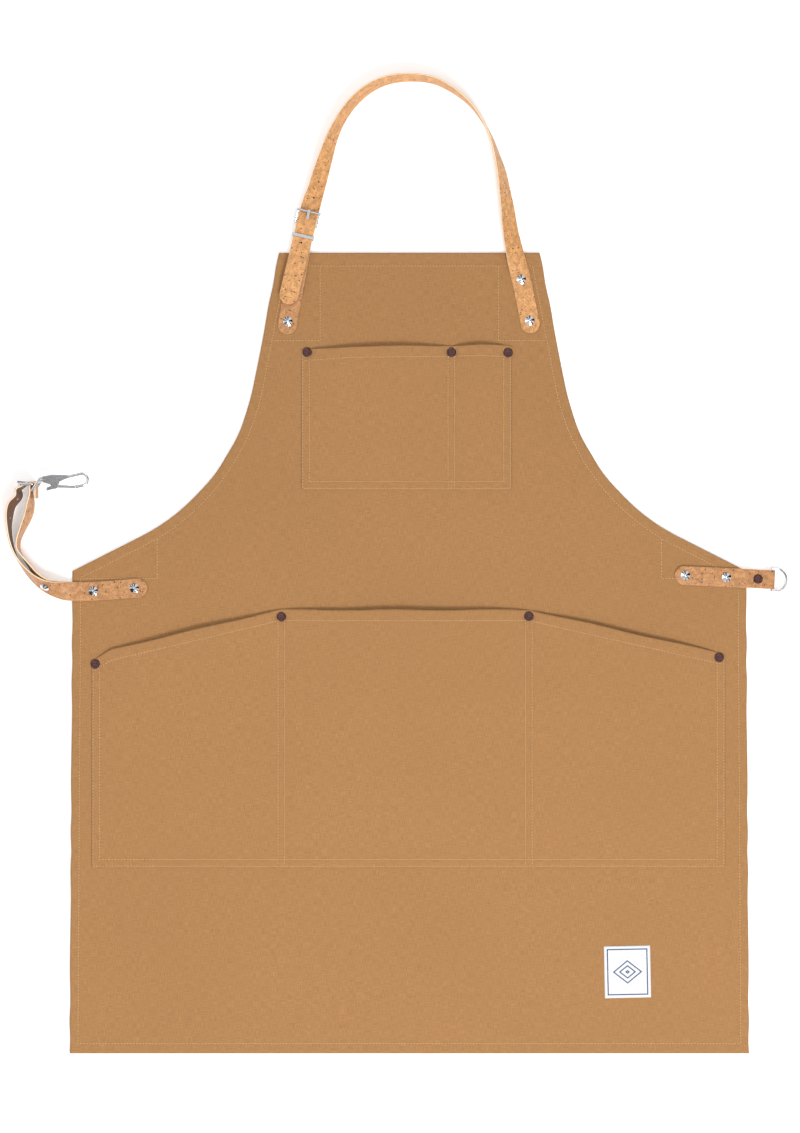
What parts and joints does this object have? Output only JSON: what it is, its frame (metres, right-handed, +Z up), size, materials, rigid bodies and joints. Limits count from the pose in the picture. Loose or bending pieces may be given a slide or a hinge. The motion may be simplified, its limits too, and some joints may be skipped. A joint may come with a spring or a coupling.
{
  "type": "work apron",
  "caption": "Canvas work apron laid flat, with bib and waist pockets, a buckled cork neck strap, and a waist strap whose snap hook clips to a D-ring.",
  "frame": {"origin": "bottom centre of the whole apron's box as it lies flat", "axes": "+Z up from the floor, +Y from the hem to the bib, +X towards the D-ring strap"},
  "size_m": [0.8261, 1.0358, 0.0287],
  "materials": {
    "canvas": "heavy plain weave cotton",
    "strap_light": "cork-faced strap, satin",
    "strap_tan": "cork-faced strap, brown back, pale edges",
    "label": "woven label",
    "chrome": "polished plating",
    "copper": "dark antique copper",
    "spring_steel": "spring wire"
  },
  "bodies": {
    "apron": {"canvas_panel": "canvas", "bib_pocket": "canvas", "waist_pocket": "canvas", "bib_patch_left": "canvas", "bib_patch_right": "canvas", "waist_patch_left": "canvas", "waist_patch_right": "canvas", "woven_label": "label", "neck_strap": "strap_light", "neck_buckle_strap": "strap_tan", "waist_strap_front": "strap_tan", "waist_strap_back": "strap_tan", "ring_strap": "strap_tan", "cone_rivet_caps": "chrome", "cone_rivet_posts": "chrome", "copper_rivet_heads": "copper", "copper_rivet_posts": "copper", "fold_rivet_cap": "chrome"},
    "neck_buckle": {"neck_buckle_frame": "chrome"},
    "neck_prong": {"neck_buckle_prong": "chrome"},
    "neck_band": {"neck_keeper": "chrome"},
    "waist_buckle": {"waist_buckle_frame": "chrome"},
    "waist_prong": {"waist_buckle_prong": "chrome"},
    "strap_ring": {"d_ring": "chrome"},
    "swivel_eye": {"hook_swivel_eye": "chrome"},
    "snap_hook": {"hook_body": "chrome", "hook_gate_pin": "chrome", "hook_gate_spring": "spring_steel"},
    "gate": {"hook_gate": "chrome"}
  },
  "joints": [
    {"name": "neck_frame_tilt", "type": "hinge", "parent": "apron", "child": "neck_buckle", "pos_m": [-0.09708, 0.35979, 0.0058], "axis": [0.9711, -0.2385, 0], "range_deg": [0, 6]},
    {"name": "neck_prong_lift", "type": "hinge", "parent": "neck_buckle", "child": "neck_prong", "pos_m": [-0.09708, 0.35979, 0.0058], "axis": [0.9711, -0.2385, 0], "range_deg": [0, 8]},
    {"name": "neck_keeper_slide", "type": "slide", "parent": "apron", "child": "neck_band", "axis": [0.2385, 0.9711, 0], "range_m": [-0.002, 0.002]},
    {"name": "waist_frame_tilt", "type": "hinge", "parent": "apron", "child": "waist_buckle", "pos_m": [-0.38428, 0.08419, 0.0152], "axis": [0, 0, -1], "range_deg": [0, 6]},
    {"name": "waist_prong_lift", "type": "hinge", "parent": "waist_buckle", "child": "waist_prong", "pos_m": [-0.38428, 0.08419, 0.0152], "axis": [0, 0, -1], "range_deg": [0, 8]},
    {"name": "d_ring_flip", "type": "hinge", "parent": "apron", "child": "strap_ring", "pos_m": [0.3953, -0.01611, 0.00315], "axis": [-0.0488, -0.9988, 0], "range_deg": [0, 125]},
    {"name": "eye_swing", "type": "hinge", "parent": "apron", "child": "swivel_eye", "pos_m": [-0.38428, 0.07859, 0.0152], "axis": [0, 0, 1], "range_deg": [-35, 3]},
    {"name": "hook_swivel", "type": "hinge", "parent": "swivel_eye", "child": "snap_hook", "pos_m": [-0.37668, 0.08959, 0.0152], "axis": [0.9925, 0.1219, 0], "continuous": true},
    {"name": "gate_open", "type": "hinge", "parent": "snap_hook", "child": "gate", "pos_m": [-0.36178, 0.08235, 0.0152], "axis": [0, 0, 1], "range_deg": [0, 14], "stiffness_Nm_per_rad": 0.02, "springref_deg": -22.92}
  ]
}
